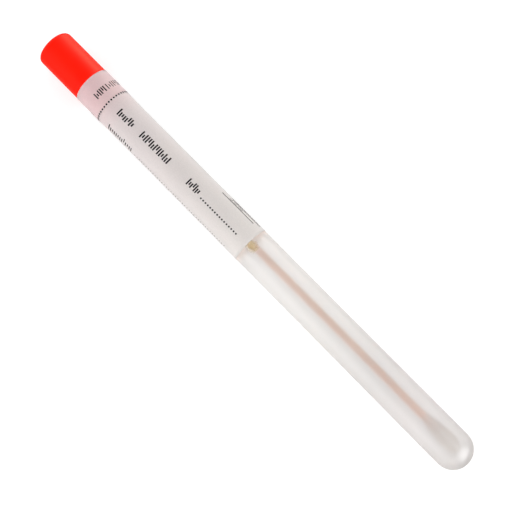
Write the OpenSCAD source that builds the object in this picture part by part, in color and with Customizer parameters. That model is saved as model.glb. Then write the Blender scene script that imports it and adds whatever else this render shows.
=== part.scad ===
// Dry specimen swab in a labelled transport tube, lying on its side.
// A red moulded cap plugs the mouth of a round-bottomed translucent tube and
// carries a wooden stick with a wound cotton bud. A paper label wraps the joint
// between cap and tube and tears at its perforation when the swab is drawn.
//
// Every piece is revolved about its own +Z, with z = 0 at the mouth of the tube
// and +z towards the round bottom, and is then laid along +X by lie_down().
// Origin: on the supporting surface, under the middle of the whole part.

/* [Tube] */
// Outside diameter of the tube
tube_od = 12; // [10:0.1:16]
// Length from the mouth to the tip of the round bottom
tube_len = 150; // [110:1:180]
// Wall at the mouth
tube_wall = 0.9; // [0.7:0.05:1.2]
// How much the bore narrows on each side, from the mouth to the round bottom
bore_draft = 0.15; // [0:0.01:0.3]
// Wall at the tip of the round bottom
bottom_wall = 1.2; // [0.8:0.1:2]
// Chamfer inside the mouth, which leads the plug in
mouth_chamfer = 0.3; // [0.1:0.05:0.5]
// Rounding of the mouth's outer edge
mouth_round = 0.2; // [0.1:0.05:0.3]

/* [Cap] */
// Outside diameter of the cap's grip
cap_od = 12.2; // [10.2:0.1:16.2]
// Length of the grip outside the tube
grip_len = 27.5; // [20:0.5:40]
// Radius round the edge of the closed end
cap_edge_round = 1.5; // [0.5:0.1:2.5]
// Thickness of the closed end
cap_end_wall = 1.6; // [1.2:0.1:3]
// Length of the plug inside the tube
plug_len = 9; // [7:0.5:14]
// Wall of the plug
plug_wall = 1; // [0.7:0.05:1.4]
// Free space between the plug's body and the bore, on each side
plug_relief = 0.15; // [0.1:0.01:0.3]
// Running clearance between the plug's sealing beads and the bore, on each side
bead_clearance = 0.03; // [0.01:0.01:0.08]
// Radius of a sealing bead's section
bead_round = 0.6; // [0.4:0.05:0.9]
// Distance from the mouth to the first sealing bead
bead_start = 2.2; // [1.6:0.1:3]
// Distance from one sealing bead to the next
bead_pitch = 2.4; // [1.6:0.1:3]
// Length of the taper that leads the plug in
plug_lead = 1.2; // [0.6:0.1:2]
// How far the taper runs in on each side
plug_lead_in = 0.45; // [0.2:0.05:0.7]
// How much the cored cavity narrows on each side, from the plug to the closed end
core_draft = 0.2; // [0:0.05:0.4]
// Thickness of each web of the cross inside the grip
web_t = 0.9; // [0.6:0.1:1.4]
// Distance from the mouth back to the ends of the webs
web_setback = 1.5; // [0.5:0.5:5]
// Wall of the socket that holds the stick
socket_wall = 1; // [0.7:0.05:1.4]
// Depth of the socket
socket_depth = 14; // [8:0.5:18]
// How far the socket's end stands back from the plug's end
socket_setback = 1; // [0.5:0.1:3]
// Diameter of the dish round the moulding gate in the closed end
gate_dish_d = 4; // [2:0.1:6]
// Depth of that dish
gate_dish_depth = 0.4; // [0.2:0.05:0.8]
// Diameter of the gate's snapped-off stub
gate_d = 1; // [0.6:0.1:1.6]

/* [Swab] */
// Diameter of the wooden stick
stick_d = 2.2; // [1.8:0.1:3]
// Rounding of the stick's ends
stick_round = 0.25; // [0.1:0.05:0.5]
// Space round the stick in its socket and in the bud, on each side
stick_clearance = 0.02; // [0.01:0.01:0.05]
// Largest diameter of the cotton bud
bud_d = 5; // [4:0.1:7]
// Length of the cotton bud
bud_len = 14; // [10:0.5:20]
// Thickness of cotton over the end of the stick
bud_cover = 1.8; // [1:0.1:3]
// Free space between the bud and the inside of the round bottom
bud_gap = 3; // [1:0.5:20]
// Thickness of the cotton where the winding begins
bud_root = 0.25; // [0.1:0.05:0.5]

/* [Label] */
// Length of the whole label
label_len = 70.3; // [40:0.1:90]
// How far the label reaches over the cap
label_on_cap = 9.7; // [5:0.1:15]
// Thickness of the paper
paper_t = 0.08; // [0.05:0.01:0.15]
// Thickness of the adhesive under the paper
glue_t = 0.02; // [0.01:0.01:0.05]
// Width of the paper's overlap, measured round the tube
overlap_w = 2.6; // [1:0.1:5]
// Where the overlap starts, as an angle round from the underside
overlap_start = 25; // [15:1:120]

/* [Hidden] */
$fn = 96;

tube_r = tube_od / 2;
cap_r = cap_od / 2;
stick_r = stick_d / 2;
bore_mouth_r = tube_r - tube_wall;
bore_end_r = bore_mouth_r - bore_draft;
bore_end_z = tube_len - bottom_wall - bore_end_r;

// Radius of the tube's bore at a depth below the mouth
function bore_r(z) = bore_mouth_r - bore_draft * z / bore_end_z;

plug_r = bore_r(plug_len) - plug_relief;
core_r = plug_r - plug_wall;
socket_r = stick_r + stick_clearance;
socket_end_z = plug_len - socket_setback;
socket_floor_z = socket_end_z - socket_depth;
bud_tip_z = tube_len - bottom_wall - bud_gap;
bud_root_z = bud_tip_z - bud_len;
stick_end_z = bud_tip_z - bud_cover;

label_on_tube = label_len - label_on_cap;
seal_outer_r = cap_r + glue_t + paper_t;
label_outer_r = tube_r + glue_t + paper_t;

// The part rests on whatever is fattest
rest_r = max(seal_outer_r, label_outer_r);
mid_z = (tube_len - grip_len) / 2;

// A cut runs this far past the face that it opens
past = 1;

// Lays a piece that was made along +Z on its side, with the round bottom at +X
module lie_down() {
    translate([-mid_z, 0, rest_r])
        rotate([0, 90, 0])
            children();
}

// Profile of a cylinder of radius r from z0 to z1, for a revolve
module band(r, z0, z1) {
    translate([0, z0])
        square([r, z1 - z0]);
}

// Profile of the straight-sided region between two radii at two heights
module taper(r0, z0, r1, z1) {
    polygon([[0, z0], [r0, z0], [r1, z1], [0, z1]]);
}

// Keeps the half of a profile that a revolve may use
module right_half() {
    reach = tube_len + grip_len + plug_len;
    intersection() {
        translate([0, -reach])
            square([cap_od + tube_od, 2 * reach]);
        children();
    }
}

// Profile that rounds off an outer corner at radius r and height z0; the
// material lies at greater z
module corner_off(r, z0, round) {
    difference() {
        translate([r - round, z0 - past])
            square([round + past, round + past]);
        translate([r - round, z0 + round])
            circle(r = round);
    }
}

// ---- Tube ------------------------------------------------------------------

module tube_outside() {
    dome_z = tube_len - tube_r;
    difference() {
        union() {
            band(tube_r, 0, dome_z);
            right_half()
                translate([0, dome_z])
                    circle(r = tube_r);
        }
        corner_off(tube_r, 0, mouth_round);
    }
}

module tube_bore() {
    taper(bore_mouth_r, 0, bore_end_r, bore_end_z);
    right_half()
        translate([0, bore_end_z])
            circle(r = bore_end_r);
    taper(bore_mouth_r + mouth_chamfer + past, -past, bore_r(mouth_chamfer), mouth_chamfer);
}

module tube() {
    color("#E9EAE6", 0.5)
        lie_down()
            rotate_extrude()
                difference() {
                    tube_outside();
                    tube_bore();
                }
}

// ---- Cap -------------------------------------------------------------------

module grip_profile() {
    difference() {
        band(cap_r, -grip_len, 0);
        corner_off(cap_r, -grip_len, cap_edge_round);
        band(gate_dish_d / 2, -grip_len - past, -grip_len + gate_dish_depth);
    }
    band(gate_d / 2, -grip_len + gate_dish_depth / 2, -grip_len + cap_end_wall);
}

module plug_profile() {
    band(plug_r, -past, plug_len - plug_lead);
    taper(plug_r, plug_len - plug_lead, plug_r - plug_lead_in, plug_len);
    for (z = [bead_start, bead_start + bead_pitch])
        right_half()
            translate([bore_r(z + bead_round) - bead_clearance - bead_round, z])
                circle(r = bead_round);
}

// The hollow that the moulding core leaves, open at the plug's end
module core_profile() {
    taper(core_r - core_draft, -grip_len + cap_end_wall, core_r, plug_len + past);
}

// Two webs crossed on the axis stiffen the grip and stop the stick
module crossed_webs() {
    web_len = grip_len - cap_end_wall / 2 - web_setback;
    for (turn = [0, 90])
        rotate([0, 0, turn])
            translate([-core_r - plug_wall / 2, -web_t / 2, -grip_len + cap_end_wall / 2])
                cube([2 * core_r + plug_wall, web_t, web_len]);
}

module socket_outside() {
    translate([0, 0, socket_floor_z - socket_wall])
        cylinder(r = socket_r + socket_wall, h = socket_depth + socket_wall);
}

module socket_bore() {
    lead = socket_wall / 2;
    translate([0, 0, socket_floor_z])
        cylinder(r = socket_r, h = socket_depth + past);
    translate([0, 0, socket_end_z - lead])
        cylinder(r1 = socket_r, r2 = socket_r + lead + past, h = lead + past);
}

module cap() {
    color("#FF2A10")
        lie_down()
            difference() {
                union() {
                    rotate_extrude()
                        difference() {
                            union() {
                                grip_profile();
                                plug_profile();
                            }
                            core_profile();
                        }
                    crossed_webs();
                    socket_outside();
                }
                socket_bore();
            }
}

// ---- Swab ------------------------------------------------------------------

module swab_stick() {
    color("#C9A97E")
        lie_down()
            rotate_extrude()
                difference() {
                    band(stick_r, socket_floor_z, stick_end_z);
                    corner_off(stick_r, socket_floor_z, stick_round);
                    translate([0, stick_end_z])
                        mirror([0, 1])
                            corner_off(stick_r, 0, stick_round);
                }
}

// Radius of the wound cotton at a share t of its length, from root to tip:
// it swells quickly from the stick and closes as a round tip
function bud_r(t) =
    let (swell = sin(90 * pow(min(t / 0.62, 1), 0.8)),
         close = t < 0.62 ? 1 : sqrt(max(0, 1 - pow((t - 0.62) / 0.38, 2.4))))
    t < 1 ? (stick_r + bud_root) * (1 - swell) * close + bud_d / 2 * swell * close : 0;

module cotton_bud() {
    steps = 24;
    outline = [for (i = [0:steps])
        let (t = sin(90 * i / steps))
        [bud_r(t), bud_root_z + bud_len * t]];
    color("#F4F1EC")
        lie_down()
            difference() {
                rotate_extrude()
                    polygon(concat([[0, bud_root_z]], outline));
                translate([0, 0, bud_root_z - past])
                    cylinder(r = stick_r + stick_clearance, h = bud_len - bud_cover + past + stick_clearance);
            }
}

// ---- Label -----------------------------------------------------------------

// Section of paper wrapped once round a cylinder of radius r, with its end
// lapped over its start and stuck down there
module wrap_section(r) {
    inner_r = r + glue_t;
    outer_r = inner_r + paper_t;
    lap_r = outer_r + glue_t + paper_t;
    lap_angle = overlap_w / lap_r * 180 / PI;
    reach = 2 * lap_r;
    difference() {
        union() {
            circle(r = outer_r);
            intersection() {
                circle(r = lap_r);
                polygon([[0, 0],
                         reach * [cos(overlap_start), sin(overlap_start)],
                         reach * [cos(overlap_start + lap_angle), sin(overlap_start + lap_angle)]]);
            }
        }
        circle(r = inner_r);
    }
}

module paper_wrap(r, z0, z1) {
    translate([0, 0, z0])
        linear_extrude(z1 - z0)
            wrap_section(r);
}

module label() {
    color("#F3EFEE")
        lie_down()
            paper_wrap(tube_r, 0, label_on_tube);
}

module label_seal() {
    color("#F0E6E6")
        lie_down()
            paper_wrap(cap_r, -label_on_cap, 0);
}

tube();
label();
cap();
label_seal();
swab_stick();
cotton_bud();
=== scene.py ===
"""A dry specimen swab in its labelled transport tube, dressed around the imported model."""
import math
import random

import bmesh
import bpy
from mathutils import Matrix, Vector, noise


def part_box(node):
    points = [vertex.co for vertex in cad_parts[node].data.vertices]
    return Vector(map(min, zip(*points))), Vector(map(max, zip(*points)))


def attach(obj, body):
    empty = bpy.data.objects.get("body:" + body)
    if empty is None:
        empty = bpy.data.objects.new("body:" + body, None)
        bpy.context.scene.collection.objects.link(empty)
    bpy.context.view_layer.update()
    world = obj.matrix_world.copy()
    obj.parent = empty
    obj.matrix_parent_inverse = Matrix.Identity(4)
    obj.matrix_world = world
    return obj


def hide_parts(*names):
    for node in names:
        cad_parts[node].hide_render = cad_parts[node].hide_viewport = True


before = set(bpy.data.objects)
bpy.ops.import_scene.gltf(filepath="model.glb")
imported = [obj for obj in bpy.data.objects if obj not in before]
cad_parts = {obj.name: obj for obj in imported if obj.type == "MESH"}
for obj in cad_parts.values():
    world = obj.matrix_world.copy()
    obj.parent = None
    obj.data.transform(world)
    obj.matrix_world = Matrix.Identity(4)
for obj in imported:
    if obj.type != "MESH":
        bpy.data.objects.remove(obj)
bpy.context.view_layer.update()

MM = 0.001
TAU = 2 * math.pi

# ---- Sizes, read from the frame or stated in millimetres --------------------

tube_lo, tube_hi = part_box("tube")
cap_lo, cap_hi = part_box("cap")
_, label_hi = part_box("label")
seal_lo, seal_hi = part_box("label_seal")
stick_lo, stick_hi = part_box("swab_stick")
bud_lo, bud_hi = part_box("cotton_bud")

AXIS_Z = (tube_lo.z + tube_hi.z) / 2
MOUTH_X = tube_lo.x
TIP_X = tube_hi.x
TUBE_R = (tube_hi.z - tube_lo.z) / 2
CAP_R = (cap_hi.z - cap_lo.z) / 2
STICK_R = (stick_hi.z - stick_lo.z) / 2
BUD_R = (bud_hi.z - bud_lo.z) / 2
DOME_CENTRE = Vector((TIP_X - TUBE_R, 0, AXIS_Z))

TUBE_WALL = 0.9 * MM
BORE_DRAFT = 0.15 * MM
BOTTOM_WALL = 1.2 * MM
MOUTH_ROUND = 0.2 * MM
MOUTH_CHAMFER = 0.3 * MM

CAP_EDGE_ROUND = 1.5 * MM
CAP_END_WALL = 1.6 * MM
PLUG_WALL = 1.0 * MM
PLUG_RELIEF = 0.15 * MM
BEAD_CLEARANCE = 0.03 * MM
BEAD_ROUND = 0.6 * MM
BEAD_PLACES = (2.2 * MM, 4.6 * MM)
# The plug's end tapers over this length, and draws in by this much
PLUG_LEAD = 1.2 * MM
PLUG_LEAD_IN = 0.45 * MM
CORE_DRAFT = 0.2 * MM
WEB_T = 0.9 * MM
WEB_SETBACK = 1.5 * MM
SOCKET_WALL = 1.0 * MM
SOCKET_SETBACK = 1.0 * MM
GATE_DISH_R = 2.0 * MM
GATE_DISH_DEPTH = 0.4 * MM
GATE_R = 0.5 * MM

STICK_CLEARANCE = 0.02 * MM
STICK_ROUND = 0.25 * MM
# How far the stick has bowed to one side where the cotton begins
STICK_BOW = 0.75 * MM

# Thickness of the cotton where the winding begins, and the share of its length where it is full
BUD_ROOT = 0.25 * MM
BUD_SHOULDER = 0.62
# How late the cotton swells, and how blunt its end is
BUD_SWELL = 1.2
BUD_BLUNTNESS = 2.4
# The winding lets light through over its first stretch
THIN_COTTON = 10.0 * MM
STRAND_PITCH = 1.5 * MM
STRAND_DEPTH = 0.12 * MM
# The strands wander over lengths of this size, and fade where less cotton than this is wound
STRAND_DRIFT = 1.6 * MM
STRAND_FADE = 0.6 * MM
# Strands slant round the bud, and wider ones cross them: how often they come along it, the number
# of starts round it, how far they wander, and their share of the depth
WINDINGS = ((1.0, 3, 2.2, 0.45), (0.7, -4, 1.7, 0.25))
# Tufts of loose fibre: their size, and their share of the depth
TUFT = 0.5 * MM
TUFT_SHARE = 0.3

PAPER_T = 0.08 * MM
GLUE_T = 0.005 * MM
OVERLAP_W = 2.6 * MM
# The paper starts this many degrees past the underside
OVERLAP_START = 25.0
# Its end climbs onto its start between these angles short of a full turn, in radians
LAP_START = 0.25
LAP_END = 0.05
# The paper comes down from the cap to the tube over this length
BRIDGE = 2.5 * MM

INK_T = 0.012 * MM
INK_LIFT = 0.002 * MM
PERFORATION_PITCH = 1.0 * MM
PERFORATION_R = 0.29 * MM

# A tint, partly glue and partly painted light, lifts the wall this far past the label's end, and an
# amber film lies above the stick
RIM_REACH = 2.6 * MM
SMEAR_REACH = 3.4 * MM
SMEAR_HALF_WIDTH = 1.95 * MM
SMEAR_MIDDLE = 1.25 * MM
SMEAR_TURN = 8.5
SMEAR_T = 0.012 * MM
SMEAR_LIFT = 0.004 * MM

# Fineness of the meshes: steps round a full turn, and rings or columns along a piece
ROUND_STEPS = 144
SOCKET_STEPS = 64
STICK_STEPS = 48
STICK_RINGS = 40
BUD_RINGS = 150
PAPER_COLUMNS = 360
# Points nearer to each other than this, in metres, are one
WELD = 1e-7

# ---- Print: places along X are in mm past the tear line, and turns in degrees from straight up

# Greeked marks are tall, short, middle or hung bars, each between two shares of the line's height
BARS = {"t": (0.0, 1.0), "s": (0.0, 0.68), "m": (0.2, 0.68), "h": (0.34, 1.0)}
# A line's height on the label, in degrees round the tube
LINE_RISE = 22.5

# Words along the tube: start, end, turn of the feet, bars, stroke in mm
LABEL_WORDS = (
    (4.25, 10.85, 18.3, "tsmsshtm", 0.5),
    (14.15, 26.55, 18.3, "tmtthtsthttmtst", 0.48),
    (34.55, 39.75, 18.3, "tmshtsm", 0.46),
    (4.35, 15.05, 80.0, "tsmssmsshsmss", 0.34),
)
# Words round the seal: head, foot, first turn, last turn, bars, stroke in mm
SEAL_WORDS = (
    (-5.15, -3.05, 26.0, -14.0, "tmttht", 0.38),
    (-5.15, -3.05, -18.0, -82.0, "tmtthttm", 0.28),
    (-3.75, -2.15, 104.0, 86.0, "sts", 0.22),
)
# Dotted writing lines: first dot, number of dots 1 mm apart, turn, radius of a dot in mm
WRITING_LINES = ((41.05, 16, 16.5, 0.28), (16.25, 40, 79.0, 0.18))
# Ruled lines: start, end, turn, width in degrees
RULED_LINES = ((43.85, 57.05, -45.0, 2.6), (47.25, 58.85, -59.0, 2.6))
# Fine print: start, end, turn, width in degrees
FINE_PRINT = ((46.45, 52.25, -53.0, 2.0), (46.55, 58.05, -67.0, 2.4), (47.55, 58.95, -75.0, 2.4))
# It is broken into dashes between these lengths, with gaps of this width, in mm
DASH = (0.7, 2.2)
DASH_GAP = 0.3


# ---- Mesh helpers -----------------------------------------------------------

def arc(x, r, radius, start, end, steps):
    """Points (x, r) on a round stretch of a profile; angles in degrees from +x."""
    turns = [math.radians(start + (end - start) * i / steps) for i in range(steps + 1)]
    return [(x + radius * math.cos(t), r + radius * math.sin(t)) for t in turns]


def round_the_tube(radius, x, degrees):
    """Point at a radius and an angle from straight up, turning towards -Y."""
    turn = math.radians(degrees)
    return Vector((x, -radius * math.sin(turn), AXIS_Z + radius * math.cos(turn)))


def ease(value, start, end):
    """Runs smoothly from 0 at the start to 1 at the end."""
    share = min(max((value - start) / (end - start), 0), 1)
    return share * share * (3 - 2 * share)


def spin_profile(bm, points, steps=ROUND_STEPS):
    """Spins a profile of (x, radius) points round the tube's axis."""
    ring = [bm.verts.new((x, 0, AXIS_Z + r)) for x, r in points]
    edges = [bm.edges.new(pair) for pair in zip(ring, ring[1:])]
    bmesh.ops.spin(
        bm, geom=ring + edges, cent=(0, 0, AXIS_Z), axis=(1, 0, 0),
        dvec=(0, 0, 0), angle=TAU, steps=steps, use_merge=True,
    )


def face_outwards(bm):
    """Turns the faces of open sheets away from the tube's axis."""
    bm.normal_update()
    for face in bm.faces:
        middle = face.calc_center_median()
        if face.normal.dot(Vector((0, middle.y, middle.z - AXIS_Z))) < 0:
            face.normal_flip()


def make_object(bm, name, sharp=35.0, sheet=False):
    """Makes the bmesh an object with smooth faces, and crisp edges past an angle."""
    bmesh.ops.remove_doubles(bm, verts=bm.verts, dist=WELD)
    if sheet:
        face_outwards(bm)
    else:
        bmesh.ops.recalc_face_normals(bm, faces=bm.faces)
    mesh = bpy.data.meshes.new(name)
    bm.to_mesh(mesh)
    bm.free()
    mesh.shade_smooth()
    mesh.set_sharp_from_angle(angle=math.radians(sharp))
    piece = bpy.data.objects.new(name, mesh)
    bpy.context.scene.collection.objects.link(piece)
    return piece


def thicken(piece, thickness):
    """Gives a sheet its thickness, outwards."""
    wall = piece.modifiers.new("thickness", "SOLIDIFY")
    wall.thickness = thickness
    wall.offset = 1


def combine(piece, tool, how):
    """Applies a boolean of the tool to the piece and deletes the tool."""
    step = piece.modifiers.new("cut", "BOOLEAN")
    step.operation = how
    step.object = tool
    step.solver = "EXACT"
    step.use_self = True
    bpy.context.view_layer.objects.active = piece
    bpy.ops.object.modifier_apply(modifier=step.name)
    bpy.data.objects.remove(tool)


def dress(piece, material, body, replaced=None):
    """Gives a finished piece its material, its body and the node that it stands for."""
    piece.data.materials.clear()
    piece.data.materials.append(material)
    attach(piece, body)
    if replaced:
        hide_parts(replaced)


# ---- Material helpers -------------------------------------------------------

def linear(code):
    """Linear RGBA from an sRGB hex code."""
    parts = [int(code[i:i + 2], 16) / 255 for i in (1, 3, 5)]
    return [c / 12.92 if c <= 0.04045 else ((c + 0.055) / 1.055) ** 2.4 for c in parts] + [1.0]


def new_material(name):
    """A material and its node tree, which is empty."""
    made = bpy.data.materials.new(name)
    made.use_nodes = True
    made.node_tree.nodes.clear()
    return made, made.node_tree


# Sockets of a Mix node that go by number, because their names repeat
VALUE_A, VALUE_B, COLOUR_A, COLOUR_B = 2, 3, 6, 7
COLOUR_OUT = 2


def add(tree, kind, inputs=None, out=0, stops=(), **settings):
    """Adds a node and returns one output; inputs maps a socket to a value or to another output.

    Sockets go by name, or by their order in the node. Stops are a colour ramp's, each a place
    and an sRGB hex code.
    """
    made = tree.nodes.new(kind)
    for key, value in settings.items():
        setattr(made, key, value)
    for key, value in (inputs or {}).items():
        if isinstance(value, bpy.types.NodeSocket):
            tree.links.new(value, made.inputs[key])
        else:
            made.inputs[key].default_value = value
    for i, (place, code) in enumerate(stops):
        if i >= len(made.color_ramp.elements):
            made.color_ramp.elements.new(place)
        made.color_ramp.elements[i].position = place
        made.color_ramp.elements[i].color = linear(code)
    return made.outputs[out] if made.outputs else None


def light_passing(tree):
    """One for the rays that carry light through a clear wall, and zero for those that look at it."""
    shadow = add(tree, "ShaderNodeLightPath", out="Is Shadow Ray")
    diffuse = add(tree, "ShaderNodeLightPath", out="Is Diffuse Ray")
    return add(tree, "ShaderNodeMath", {0: shadow, 1: diffuse}, operation="MAXIMUM")


# ---- Materials --------------------------------------------------------------

def moulded_polypropylene():
    """Natural polypropylene, moulded: milky and satin outside, clear in the bore of a polished core."""
    mat, tree = new_material("natural_polypropylene")
    place = add(tree, "ShaderNodeTexCoord", out="Object")
    along = add(tree, "ShaderNodeSeparateXYZ", {"Vector": place}, out="X")

    # The distance from the axis, and past the dome's centre from that, tells the skin from the bore
    past = add(tree, "ShaderNodeVectorMath", {0: place, 1: DOME_CENTRE}, operation="SUBTRACT")
    spoke = add(tree, "ShaderNodeVectorMath", {0: past, 1: (0, -1, -1)}, operation="MAXIMUM")
    radius = add(tree, "ShaderNodeVectorMath", {0: spoke}, out="Value", operation="LENGTH")
    skin = add(tree, "ShaderNodeMapRange", {
        "Value": radius, "From Min": TUBE_R - 0.6 * TUBE_WALL, "From Max": TUBE_R - 0.4 * TUBE_WALL,
    }, interpolation_type="SMOOTHSTEP")

    # Satin clouds about 25 mm long and 6 mm wide, from the flow of the melt
    flow = add(tree, "ShaderNodeMapping", {
        "Vector": place, "Scale": (1 / (25 * MM), 1 / (6 * MM), 1 / (6 * MM)),
    })
    clouds = add(tree, "ShaderNodeTexNoise", {"Vector": flow, "Scale": 1.0, "Detail": 3.0})
    satin = add(tree, "ShaderNodeMapRange", {
        "Value": clouds, "From Min": 0.3, "From Max": 0.7, "To Min": 0.28, "To Max": 0.3,
    })
    rough = add(tree, "ShaderNodeMath", {0: skin, 1: satin}, operation="MULTIPLY")
    glass = add(tree, "ShaderNodeBsdfPrincipled", {
        "Base Color": linear("#FFFFFF"), "Roughness": rough, "IOR": 1.49, "Transmission Weight": 1.0,
    })
    bare = add(tree, "ShaderNodeBsdfTransparent", {"Color": linear("#FCFCFC")})
    clear = add(tree, "ShaderNodeMixShader", {0: light_passing(tree), 1: glass, 2: bare})

    # Painted shade: the milk darkens along the tube towards the round bottom, with a painted lift over
    # the cotton bud
    down = add(tree, "ShaderNodeMapRange", {"Value": along, "From Min": label_hi.x, "From Max": TIP_X})
    milk = add(tree, "ShaderNodeValToRGB", {"Fac": down}, stops=[
        (0.0, "#E5E5E4"), (0.34, "#DFDFDD"), (0.62, "#D7D6D5"),
        (0.82, "#DBD8D7"), (0.94, "#D4D0CE"), (1.0, "#C1BDBB"),
    ])
    # Partly glue, partly painted light: past the label's end the wall is tinted near white and made
    # milkier, which lifts the shade that the label casts inside the tube
    glue_tint_and_painted_light = add(tree, "ShaderNodeMapRange", {
        "Value": along, "From Min": label_hi.x, "From Max": label_hi.x + RIM_REACH,
        "To Min": 1.0, "To Max": 0.0,
    }, interpolation_type="SMOOTHSTEP")
    milk_with_painted_light_and_shade = add(tree, "ShaderNodeMix", {
        0: glue_tint_and_painted_light, COLOUR_A: milk, COLOUR_B: linear("#FCF5F0"),
    }, out=COLOUR_OUT, data_type="RGBA")
    front = add(tree, "ShaderNodeBsdfDiffuse", {"Color": milk_with_painted_light_and_shade})
    back = add(tree, "ShaderNodeBsdfTranslucent", {"Color": milk_with_painted_light_and_shade})
    # Most of the light that meets the milk goes on through it
    haze = add(tree, "ShaderNodeMixShader", {0: 0.7, 1: front, 2: back})

    # A slanting look goes through more milk
    facing = add(tree, "ShaderNodeLayerWeight", {"Blend": 0.5}, out="Facing")
    cloudy = add(tree, "ShaderNodeMapRange", {
        "Value": facing, "From Min": 0.1, "From Max": 0.7, "To Min": 0.56, "To Max": 0.75,
    }, interpolation_type="SMOOTHSTEP")
    dull = add(tree, "ShaderNodeMix", {0: glue_tint_and_painted_light, VALUE_A: cloudy, VALUE_B: 0.92})
    share = add(tree, "ShaderNodeMath", {0: skin, 1: dull}, operation="MULTIPLY")
    wall = add(tree, "ShaderNodeMixShader", {0: share, 1: clear, 2: haze})
    add(tree, "ShaderNodeOutputMaterial", {"Surface": wall})
    return mat


def moulded_polyethylene():
    """Red polyethylene, moulded: satin, with the faint ripple of a polished cavity."""
    mat, tree = new_material("red_polyethylene")
    place = add(tree, "ShaderNodeTexCoord", out="Object")
    # A ripple 0.4 mm wide from the cavity, and clouds 5.5 mm wide from the flow of the melt
    grain = add(tree, "ShaderNodeTexNoise", {"Vector": place, "Scale": 1 / (0.4 * MM), "Detail": 4.0})
    clouds = add(tree, "ShaderNodeTexNoise", {"Vector": place, "Scale": 1 / (5.5 * MM), "Detail": 3.0})
    colour = add(tree, "ShaderNodeValToRGB", {"Fac": clouds}, stops=[(0.3, "#FF1400"), (0.7, "#FF1801")])
    satin = add(tree, "ShaderNodeMapRange", {
        "Value": clouds, "From Min": 0.3, "From Max": 0.7, "To Min": 0.5, "To Max": 0.56,
    })
    ripple = add(tree, "ShaderNodeBump", {"Height": grain, "Distance": 0.01 * MM})
    shader = add(tree, "ShaderNodeBsdfPrincipled", {
        "Base Color": colour, "Roughness": satin, "IOR": 1.51, "Specular IOR Level": 0.06,
        "Sheen Weight": 0.07, "Sheen Roughness": 0.4, "Sheen Tint": linear("#FFB88C"), "Normal": ripple,
    })
    add(tree, "ShaderNodeOutputMaterial", {"Surface": shader})
    return mat


def label_paper():
    """White label paper, uncoated: matt, with fine fibres, and thin; the red of the cap showing through
    it is painted in as pink.
    """
    mat, tree = new_material("label_paper")
    place = add(tree, "ShaderNodeTexCoord", out="Object")
    along = add(tree, "ShaderNodeSeparateXYZ", {"Vector": place}, out="X")
    # Painted light: pink where the red cap under the paper shows through it, and warm white from there
    # to the label's end
    reach = add(tree, "ShaderNodeMapRange", {
        "Value": along, "From Min": seal_lo.x, "From Max": label_hi.x,
    })
    colour = add(tree, "ShaderNodeValToRGB", {"Fac": reach}, stops=[
        (0.0, "#EBCCCE"), (0.13, "#ECD0D1"), (0.145, "#EAD8D8"), (0.24, "#E8DFDE"),
        (0.36, "#E9E1E0"), (0.5, "#EBE4E2"), (1.0, "#EDE9E6"),
    ])
    # Fibres 0.5 mm long and 0.3 mm wide, coarser than real ones so that they show
    laid = add(tree, "ShaderNodeMapping", {
        "Vector": place, "Scale": (1 / (0.5 * MM), 1 / (0.3 * MM), 1 / (0.3 * MM)),
    })
    fibres = add(tree, "ShaderNodeTexNoise", {
        "Vector": laid, "Scale": 1.0, "Detail": 6.0, "Roughness": 0.7,
    })
    tone = add(tree, "ShaderNodeValToRGB", {"Fac": fibres}, stops=[(0.35, "#F6F6F6"), (0.65, "#FFFFFF")])
    speckled_with_painted_pink = add(tree, "ShaderNodeMix", {
        0: 1.0, COLOUR_A: colour, COLOUR_B: tone,
    }, out=COLOUR_OUT, data_type="RGBA", blend_type="MULTIPLY")
    tooth = add(tree, "ShaderNodeBump", {"Height": fibres, "Distance": 0.02 * MM})
    matt = add(tree, "ShaderNodeBsdfPrincipled", {
        "Base Color": speckled_with_painted_pink, "Roughness": 0.72, "IOR": 1.45, "Specular IOR Level": 0.3,
        "Sheen Weight": 1.0, "Sheen Roughness": 0.55, "Normal": tooth,
    })
    glow = add(tree, "ShaderNodeBsdfTranslucent", {"Color": speckled_with_painted_pink})
    paper = add(tree, "ShaderNodeMixShader", {0: 0.35, 1: matt, 2: glow})
    add(tree, "ShaderNodeOutputMaterial", {"Surface": paper})
    return mat


def printing_ink():
    """Black flexographic ink, matt, a little thin where the paper's fibres stand up."""
    mat, tree = new_material("black_printing_ink")
    place = add(tree, "ShaderNodeTexCoord", out="Object")
    # Mottle 0.2 mm wide, about as fine as the paper's fibres
    mottle = add(tree, "ShaderNodeTexNoise", {"Vector": place, "Scale": 1 / (0.2 * MM), "Detail": 4.0})
    colour = add(tree, "ShaderNodeValToRGB", {"Fac": mottle}, stops=[
        (0.35, "#0A080A"), (0.75, "#241F22"),
    ])
    shader = add(tree, "ShaderNodeBsdfPrincipled", {
        "Base Color": colour, "Roughness": 0.6, "Specular IOR Level": 0.1,
    })
    add(tree, "ShaderNodeOutputMaterial", {"Surface": shader})
    return mat


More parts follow.
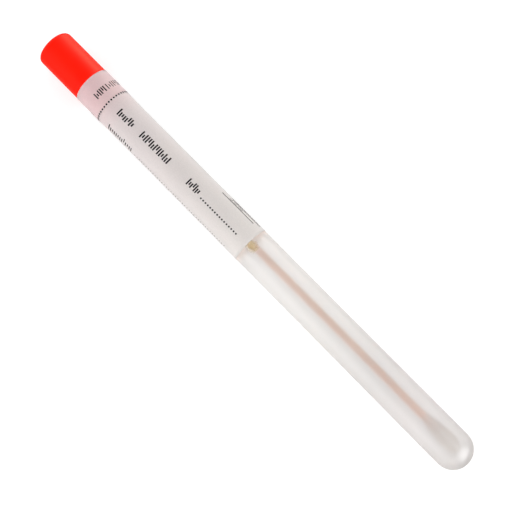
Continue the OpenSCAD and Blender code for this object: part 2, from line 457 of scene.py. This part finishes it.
def amber_film(middle, reach, half_width):
    """An amber film past the label's end, which thins out round its middle."""
    mat, tree = new_material("amber_film_material")
    place = add(tree, "ShaderNodeTexCoord", out="Object")
    # Streaks 0.65 mm wide, where the film is thicker
    streaks = add(tree, "ShaderNodeTexNoise", {"Vector": place, "Scale": 1 / (0.65 * MM), "Detail": 3.0})
    amber = add(tree, "ShaderNodeValToRGB", {"Fac": streaks}, stops=[(0.3, "#B3996F"), (0.7, "#C9B38E")])
    film = add(tree, "ShaderNodeBsdfPrincipled", {"Base Color": amber, "Roughness": 0.35, "IOR": 1.47})
    bare = add(tree, "ShaderNodeBsdfTransparent", {"Color": linear("#FFFFFF")})

    past = add(tree, "ShaderNodeVectorMath", {0: place, 1: middle}, operation="SUBTRACT")
    spread = (1 / reach, 1 / half_width, 0)
    ratio = add(tree, "ShaderNodeVectorMath", {0: past, 1: spread}, operation="MULTIPLY")
    ring = add(tree, "ShaderNodeVectorMath", {0: ratio}, out="Value", operation="LENGTH")
    frayed = add(tree, "ShaderNodeMapRange", {
        "Value": streaks, "From Min": 0.3, "From Max": 0.7, "To Min": -0.1, "To Max": 0.1,
    })
    ragged = add(tree, "ShaderNodeMath", {0: ring, 1: frayed}, operation="ADD")
    thickness = add(tree, "ShaderNodeMapRange", {
        "Value": ragged, "From Min": 0.0, "From Max": 1.05, "To Min": 0.8, "To Max": 0.0,
    }, interpolation_type="SMOOTHSTEP")
    seen = add(tree, "ShaderNodeMixShader", {0: thickness, 1: bare, 2: film})
    smear = add(tree, "ShaderNodeMixShader", {0: light_passing(tree), 1: seen, 2: bare})
    add(tree, "ShaderNodeOutputMaterial", {"Surface": smear})
    return mat


def birch():
    """Turned birch, unfinished: fine grain along the stick, and warm, as the milky wall pales it."""
    mat, tree = new_material("birch")
    place = add(tree, "ShaderNodeTexCoord", out="Object")
    # Grain 16 mm long and 0.4 mm wide
    drawn = add(tree, "ShaderNodeMapping", {
        "Vector": place, "Scale": (1 / (16 * MM), 1 / (0.4 * MM), 1 / (0.4 * MM)),
    })
    grain = add(tree, "ShaderNodeTexNoise", {
        "Vector": drawn, "Scale": 1.0, "Detail": 6.0, "Roughness": 0.65,
    })
    colour = add(tree, "ShaderNodeValToRGB", {"Fac": grain}, stops=[
        (0.3, "#D4906B"), (0.55, "#E7AC8A"), (0.8, "#F3C4A6"),
    ])
    ridges = add(tree, "ShaderNodeBump", {"Height": grain, "Distance": 0.04 * MM})
    shader = add(tree, "ShaderNodeBsdfPrincipled", {
        "Base Color": colour, "Roughness": 0.7, "Normal": ridges,
    })
    add(tree, "ShaderNodeOutputMaterial", {"Surface": shader})
    return mat


def wound_cotton():
    """Cotton fibre wound on the stick: white, soft, with a sheen of loose ends."""
    mat, tree = new_material("wound_cotton")
    place = add(tree, "ShaderNodeTexCoord", out="Object")
    along = add(tree, "ShaderNodeSeparateXYZ", {"Vector": place}, out="X")
    # Fibres in bundles 0.42 mm long and 0.14 mm wide, coarser than real ones so that they show
    drawn = add(tree, "ShaderNodeMapping", {
        "Vector": place, "Scale": (1 / (0.42 * MM), 1 / (0.14 * MM), 1 / (0.14 * MM)),
    })
    fibres = add(tree, "ShaderNodeTexNoise", {
        "Vector": drawn, "Scale": 1.0, "Detail": 6.0, "Roughness": 0.7,
    })
    colour = add(tree, "ShaderNodeValToRGB", {"Fac": fibres}, stops=[(0.3, "#E8E0D8"), (0.7, "#F0E9E2")])
    fuzz = add(tree, "ShaderNodeBump", {"Height": fibres, "Distance": 0.08 * MM})
    soft = add(tree, "ShaderNodeBsdfPrincipled", {
        "Base Color": colour, "Roughness": 0.9, "Sheen Weight": 0.15, "Normal": fuzz,
    })
    depth = add(tree, "ShaderNodeMapRange", {
        "Value": along, "From Min": bud_lo.x, "From Max": bud_lo.x + THIN_COTTON,
        "To Min": 0.38, "To Max": 1.0,
    }, interpolation_type="SMOOTHSTEP")
    gap = add(tree, "ShaderNodeBsdfTransparent", {"Color": linear("#FFFFFF")})
    cotton = add(tree, "ShaderNodeMixShader", {0: depth, 1: gap, 2: soft})
    add(tree, "ShaderNodeOutputMaterial", {"Surface": cotton})
    return mat


# ---- Tube, cap, stick and bud -----------------------------------------------

def bore_radius(depth):
    """Radius of the tube's bore at a depth below its mouth."""
    mouth_r = TUBE_R - TUBE_WALL
    end_depth = TIP_X - MOUTH_X - BOTTOM_WALL - (mouth_r - BORE_DRAFT)
    return mouth_r - BORE_DRAFT * depth / end_depth


def make_tube():
    """One wall with a round bottom, a drafted bore and an eased mouth."""
    bore_end_r = TUBE_R - TUBE_WALL - BORE_DRAFT
    outside = arc(MOUTH_X + MOUTH_ROUND, TUBE_R - MOUTH_ROUND, MOUTH_ROUND, 180, 90, 5)
    outside += arc(DOME_CENTRE.x, 0, TUBE_R, 90, 0, 40)
    inside = arc(TIP_X - BOTTOM_WALL - bore_end_r, 0, bore_end_r, 0, 90, 36)
    inside += [
        (MOUTH_X + MOUTH_CHAMFER, bore_radius(MOUTH_CHAMFER)),
        (MOUTH_X, TUBE_R - TUBE_WALL + MOUTH_CHAMFER),
    ]
    bm = bmesh.new()
    spin_profile(bm, outside)
    spin_profile(bm, inside)
    spin_profile(bm, [inside[-1], outside[0]])
    piece = make_object(bm, "tube_wall", sharp=40)
    dress(piece, moulded_polypropylene(), "tube_body", "tube")


def cap_skin(plug_r, core_r):
    """Profile of the grip and plug, from the gate dish round to the floor of the cavity."""
    end_x = cap_lo.x
    stub_x = end_x + GATE_DISH_DEPTH / 2
    dish_x = end_x + GATE_DISH_DEPTH
    skin = [(stub_x, 0), (stub_x, GATE_R), (dish_x, GATE_R), (dish_x, GATE_DISH_R), (end_x, GATE_DISH_R)]
    skin += arc(end_x + CAP_EDGE_ROUND, CAP_R - CAP_EDGE_ROUND, CAP_EDGE_ROUND, 180, 90, 14)
    skin += [(MOUTH_X, CAP_R), (MOUTH_X, plug_r)]
    for place in BEAD_PLACES:
        crest = bore_radius(place + BEAD_ROUND) - BEAD_CLEARANCE
        half = math.degrees(math.acos((plug_r - crest + BEAD_ROUND) / BEAD_ROUND))
        skin += arc(MOUTH_X + place, crest - BEAD_ROUND, BEAD_ROUND, 90 + half, 90 - half, 8)
    floor_x = end_x + CAP_END_WALL
    skin += [
        (cap_hi.x - PLUG_LEAD, plug_r), (cap_hi.x, plug_r - PLUG_LEAD_IN), (cap_hi.x, core_r),
        (floor_x, core_r - CORE_DRAFT), (floor_x, 0),
    ]
    return skin


def make_cap():
    """Grip, plug with two sealing beads, crossed webs and the stick's socket, moulded in one."""
    plug_r = bore_radius(cap_hi.x - MOUTH_X) - PLUG_RELIEF
    core_r = plug_r - PLUG_WALL
    bm = bmesh.new()
    spin_profile(bm, cap_skin(plug_r, core_r))
    piece = make_object(bm, "cap_moulding", sharp=30)

    socket_end = cap_hi.x - SOCKET_SETBACK
    floor_x = stick_lo.x
    bore_r = STICK_R + STICK_CLEARANCE
    lead = SOCKET_WALL / 2
    bm = bmesh.new()
    spin_profile(bm, [
        (floor_x - SOCKET_WALL, 0), (floor_x - SOCKET_WALL, bore_r + SOCKET_WALL),
        (socket_end, bore_r + SOCKET_WALL), (socket_end, bore_r + lead),
        (socket_end - lead, bore_r), (floor_x, bore_r), (floor_x, 0),
    ], SOCKET_STEPS)
    socket = make_object(bm, "socket", sharp=30)

    start_x = cap_lo.x + CAP_END_WALL / 2
    length = MOUTH_X - WEB_SETBACK - start_x
    across = 2 * core_r + PLUG_WALL
    bm = bmesh.new()
    for size in ((length, across, WEB_T), (length, WEB_T, across)):
        place = Matrix.Translation((start_x + length / 2, 0, AXIS_Z)) @ Matrix.Diagonal((*size, 1))
        bmesh.ops.create_cube(bm, size=1, matrix=place)
    webs = make_object(bm, "webs", sharp=30)
    bm = bmesh.new()
    spin_profile(bm, [
        (floor_x, 0), (floor_x, bore_r), (socket_end, bore_r), (socket_end, 0),
    ], SOCKET_STEPS)
    combine(webs, make_object(bm, "drill", sharp=30), "DIFFERENCE")
    combine(piece, webs, "UNION")
    combine(piece, socket, "UNION")
    piece.data.set_sharp_from_angle(angle=math.radians(30))
    dress(piece, moulded_polyethylene(), "swab_body", "cap")


def bow(bm):
    """Curves the wood a little to one side past the cap: a stick is never quite straight."""
    for v in bm.verts:
        share = min(max((v.co.x - cap_hi.x) / (bud_lo.x - cap_hi.x), 0), 1)
        v.co.y += STICK_BOW * share * (2 - share)


def make_stick():
    """A round rod with eased ends, with rings close enough for its bow."""
    points = [(stick_lo.x, 0)]
    points += arc(stick_lo.x + STICK_ROUND, STICK_R - STICK_ROUND, STICK_ROUND, 180, 90, 4)
    for i in range(STICK_RINGS + 1):
        points.append((cap_hi.x + (bud_lo.x - cap_hi.x) * i / STICK_RINGS, STICK_R))
    points += arc(stick_hi.x - STICK_ROUND, STICK_R - STICK_ROUND, STICK_ROUND, 90, 0, 4)
    points += [(stick_hi.x, 0)]
    bm = bmesh.new()
    spin_profile(bm, points, STICK_STEPS)
    bow(bm)
    piece = make_object(bm, "birch_stick", sharp=40)
    dress(piece, birch(), "swab_body", "swab_stick")


def bud_profile():
    """Swells from the stick to the bud's full radius and closes over its round end."""
    root_r = STICK_R + BUD_ROOT
    full_r = BUD_R - STRAND_DEPTH
    points = [(bud_lo.x, STICK_R)]
    for i in range(BUD_RINGS):
        t = math.sin(math.pi / 2 * i / BUD_RINGS)
        swell = math.sin(math.pi / 2 * min(t / BUD_SHOULDER, 1)) ** BUD_SWELL
        past = max(t - BUD_SHOULDER, 0) / (1 - BUD_SHOULDER)
        close = math.sqrt(1 - past ** BUD_BLUNTNESS)
        radius = (root_r + (full_r - root_r) * swell) * close
        points.append((bud_lo.x + (bud_hi.x - bud_lo.x) * t, radius))
    points.append((bud_hi.x, 0))
    return points


def make_bud():
    """Cotton wound in slanting turns on the stick, with soft furrows between the strands."""
    bm = bmesh.new()
    spin_profile(bm, bud_profile())
    for v in bm.verts:
        out = Vector((0, v.co.y, v.co.z - AXIS_Z))
        turn = math.atan2(out.y, out.z)
        along = TAU * (v.co.x - bud_lo.x) / STRAND_PITCH
        drift = noise.noise(v.co / STRAND_DRIFT)
        height = 0
        for rate, starts, wander, share in WINDINGS:
            height += share * math.sin(along * rate + starts * turn + wander * drift)
        height += TUFT_SHARE * noise.noise(v.co / TUFT)
        fade = min(max((out.length - STICK_R) / STRAND_FADE, 0), 1)
        v.co += out.normalized() * STRAND_DEPTH * fade * height
    bow(bm)
    piece = make_object(bm, "wound_bud", sharp=80)
    dress(piece, wound_cotton(), "swab_body", "cotton_bud")


# ---- Label, print and glue --------------------------------------------------

def bridged_radius(x):
    """Radius under the paper, which comes down from the cap to the tube over a short cone."""
    return CAP_R + (TUBE_R - CAP_R) * ease(x, MOUTH_X, MOUTH_X + BRIDGE)


def wrap_paper(name, start_x, end_x, paper, body, node):
    """Paper wound once round the tube or cap, its end lapped over its start."""
    bm = bmesh.new()
    rows = round((end_x - start_x) / MM)
    bmesh.ops.create_grid(bm, x_segments=rows, y_segments=PAPER_COLUMNS, size=0.5)
    for v in bm.verts:
        x = start_x + (end_x - start_x) * (v.co.x + 0.5)
        radius = bridged_radius(x) + GLUE_T
        turn = (v.co.y + 0.5) * (TAU + OVERLAP_W / radius)
        lap = (PAPER_T + GLUE_T) * ease(turn, TAU - LAP_START, TAU - LAP_END)
        v.co = round_the_tube(radius + lap, x, 180 + OVERLAP_START + math.degrees(turn))
    piece = make_object(bm, name, sharp=50, sheet=True)
    thicken(piece, PAPER_T)
    dress(piece, paper, body, node)


def on_paper(place, turn):
    """Point on the label's face, from a distance past the tear line and a turn."""
    x = MOUTH_X + place
    return round_the_tube(bridged_radius(x) + GLUE_T + PAPER_T + INK_LIFT, x, turn)


def patch(bm, places, turns, steps):
    """Lays one printed rectangle on the paper, between two places in mm and two turns.

    Steps are its faces along the tube and round it.
    """
    made = bmesh.ops.create_grid(bm, x_segments=steps[0], y_segments=steps[1], size=0.5)
    for v in made["verts"]:
        place = places[0] + (places[1] - places[0]) * (v.co.x + 0.5)
        v.co = on_paper(place * MM, turns[0] + (turns[1] - turns[0]) * (v.co.y + 0.5))


def dot(bm, place, turn, radius, side=0):
    """Lays one printed dot; a side of -1 or 1 keeps the half before or past its middle."""
    made = bmesh.ops.create_circle(bm, cap_ends=True, segments=12, radius=radius)
    for v in made["verts"]:
        along = v.co.x if v.co.x * side >= 0 else 0
        v.co = on_paper(place * MM + along, turn + math.degrees(v.co.y / CAP_R))


def perforate(bm, side):
    """Half of each perforation, on one side of the tear line."""
    count = round(TAU * CAP_R / PERFORATION_PITCH)
    for i in range(count):
        dot(bm, 0, 360 * i / count, PERFORATION_R, side)


def make_print(name, bm, ink, body):
    """Gives the printed shapes the thickness of their ink, and the body of their paper."""
    piece = make_object(bm, name, sheet=True)
    thicken(piece, INK_T)
    dress(piece, ink, body)


def print_label(ink):
    """Greeked words, dotted writing lines, ruled lines and fine print."""
    rng = random.Random(11)
    bm = bmesh.new()
    for start, end, foot, bars, stroke in LABEL_WORDS:
        for i, bar in enumerate(bars):
            low, high = BARS[bar]
            place = start + (end - start) * i / len(bars)
            patch(bm, (place, place + stroke), (foot - LINE_RISE * low, foot - LINE_RISE * high), (1, 4))
    for start, count, turn, radius in WRITING_LINES:
        for i in range(count):
            dot(bm, start + i, turn, radius * MM)
    for start, end, turn, width in RULED_LINES:
        patch(bm, (start, end), (turn, turn - width), (12, 2))
    for start, end, turn, width in FINE_PRINT:
        while start < end:
            length = rng.uniform(*DASH)
            patch(bm, (start, min(start + length, end)), (turn, turn + width), (2, 1))
            start += length + DASH_GAP
    perforate(bm, 1)
    make_print("label_print", bm, ink, "tube_body")


def print_seal(ink):
    """Greeked words that read round the cap."""
    bm = bmesh.new()
    for head, foot, first, last, bars, stroke in SEAL_WORDS:
        wide = math.copysign(math.degrees(stroke * MM / CAP_R), last - first)
        for i, bar in enumerate(bars):
            low, high = BARS[bar]
            turn = first + (last - first) * i / len(bars)
            ends = (foot + (head - foot) * high, foot + (head - foot) * low)
            patch(bm, ends, (turn, turn + wide), (4, 1))
    perforate(bm, -1)
    make_print("seal_print", bm, ink, "swab_body")


def make_smear():
    """An amber film past the label's end, above the stick."""
    half_turn = math.degrees(SMEAR_HALF_WIDTH / TUBE_R)
    bm = bmesh.new()
    bmesh.ops.create_grid(bm, x_segments=6, y_segments=12, size=0.5)
    for v in bm.verts:
        x = label_hi.x + SMEAR_REACH * (v.co.x + 0.5)
        v.co = round_the_tube(TUBE_R + SMEAR_LIFT, x, SMEAR_TURN + 2 * half_turn * v.co.y)
    piece = make_object(bm, "amber_patch", sheet=True)
    thicken(piece, SMEAR_T)
    middle = round_the_tube(TUBE_R, label_hi.x + SMEAR_MIDDLE, SMEAR_TURN)
    dress(piece, amber_film(middle, SMEAR_REACH, SMEAR_HALF_WIDTH), "tube_body")


def make_label():
    """The label and the seal from one roll of paper, their print and the amber film past them."""
    paper = label_paper()
    ink = printing_ink()
    wrap_paper("label_wrap", MOUTH_X, label_hi.x, paper, "tube_body", "label")
    wrap_paper("seal_wrap", seal_lo.x, MOUTH_X, paper, "swab_body", "label_seal")
    print_label(ink)
    print_seal(ink)
    make_smear()


make_tube()
make_cap()
make_stick()
make_bud()
make_label()


# ---- Floor, light and camera ------------------------------------------------

def make_floor():
    """A white table, which looks white to the camera and in gloss and glass, and keeps its shadows."""
    mat, tree = new_material("white_table")
    camera = add(tree, "ShaderNodeLightPath", out="Is Camera Ray")
    gloss = add(tree, "ShaderNodeLightPath", out="Is Glossy Ray")
    seen = add(tree, "ShaderNodeMath", {0: camera, 1: gloss}, operation="MAXIMUM")
    matt = add(tree, "ShaderNodeBsdfDiffuse", {"Color": linear("#BEBEBE")})
    glow = add(tree, "ShaderNodeEmission", {"Color": linear("#FFFFFF"), "Strength": 0.62})
    lit = add(tree, "ShaderNodeAddShader", {0: matt, 1: glow})
    plain = add(tree, "ShaderNodeMixShader", {0: seen, 1: matt, 2: lit})
    # A milky wall scatters shadows away: through it, the table is as bright as it is in the open
    through = add(tree, "ShaderNodeLightPath", out="Is Transmission Ray")
    bright = add(tree, "ShaderNodeEmission", {"Color": linear("#FFFFFF"), "Strength": 1.15})
    table = add(tree, "ShaderNodeMixShader", {0: through, 1: plain, 2: bright})
    add(tree, "ShaderNodeOutputMaterial", {"Surface": table})
    bm = bmesh.new()
    bmesh.ops.create_grid(bm, x_segments=1, y_segments=1, size=1.5)
    floor = make_object(bm, "floor")
    floor.data.materials.append(mat)


def area_lamp(name, place, aim, size, power, colour="#FFFFFF", fill=False):
    """A soft lamp, in metres and watts: a fill lights matt surfaces, and the others only shine."""
    data = bpy.data.lights.new(name, "AREA")
    data.shape = "RECTANGLE"
    data.size, data.size_y = size
    data.energy = power
    data.color = linear(colour)[:3]
    data.spread = math.radians(60 if fill else 180)
    lamp = bpy.data.objects.new(name, data)
    lamp.visible_diffuse = fill
    lamp.visible_glossy = not fill
    lamp.visible_transmission = False
    lamp.location = place
    lamp.rotation_euler = (aim - Vector(place)).to_track_quat("-Z", "Y").to_euler()
    bpy.context.scene.collection.objects.link(lamp)


def make_light():
    """A room that is brighter low down and on one side, three soft highlights and one weak fill."""
    world = bpy.data.worlds.new("room")
    bpy.context.scene.world = world
    world.use_nodes = True
    tree = world.node_tree
    tree.nodes.clear()
    direction = add(tree, "ShaderNodeTexCoord", out="Generated")
    height = add(tree, "ShaderNodeSeparateXYZ", {"Vector": direction}, out="Z")
    across = add(tree, "ShaderNodeSeparateXYZ", {"Vector": direction}, out="Y")
    level = add(tree, "ShaderNodeMapRange", {
        "Value": height, "From Min": 0.15, "From Max": 0.85, "To Min": 2.78, "To Max": 0.39,
    }, interpolation_type="SMOOTHSTEP")
    side = add(tree, "ShaderNodeMapRange", {
        "Value": across, "From Min": -1.0, "From Max": 1.0, "To Min": 1.15, "To Max": 0.87,
    })
    strength = add(tree, "ShaderNodeMath", {0: level, 1: side}, operation="MULTIPLY")
    sky = add(tree, "ShaderNodeBackground", {"Color": linear("#FFFFFF"), "Strength": strength})
    add(tree, "ShaderNodeOutputWorld", {"Surface": sky})
    grip = Vector(((cap_lo.x + seal_lo.x) / 2, 0, AXIS_Z))
    seal = Vector(((seal_lo.x + seal_hi.x) / 2, 0, AXIS_Z))
    area_lamp("window", (0.25, 0.045, 0.085), DOME_CENTRE, (0.22, 0.22), 1.8)
    area_lamp("ceiling", (0.137, 0.06, 0.244), DOME_CENTRE, (0.1, 0.1), 0.35)
    area_lamp("strip", (-0.145, 0.24, 0.04), grip, (0.07, 0.1), 1.6, "#FFD2AE")
    area_lamp("side", (-0.1, 0.17, 0.04), seal, (0.06, 0.08), 0.007, "#DCFFFF", fill=True)


def make_camera():
    """Looks steeply down from above the bare half of the tube, a little to one side."""
    azimuth = math.radians(46.08)
    elevation = math.radians(76.54)
    distance = 0.38005
    aim = Vector((2.72 * MM, -1.17 * MM, AXIS_Z))
    level = math.cos(elevation)
    back = Vector((math.sin(azimuth) * level, -math.cos(azimuth) * level, math.sin(elevation)))
    data = bpy.data.cameras.new("camera")
    data.lens = 90
    data.sensor_width = 36
    data.clip_start = 0.01
    camera = bpy.data.objects.new("camera", data)
    camera.location = aim + back * distance
    camera.rotation_euler = (-back).to_track_quat("-Z", "Y").to_euler()
    bpy.context.scene.collection.objects.link(camera)
    bpy.context.scene.camera = camera


make_floor()
make_light()
make_camera()
bpy.context.scene.view_settings.view_transform = "Standard"
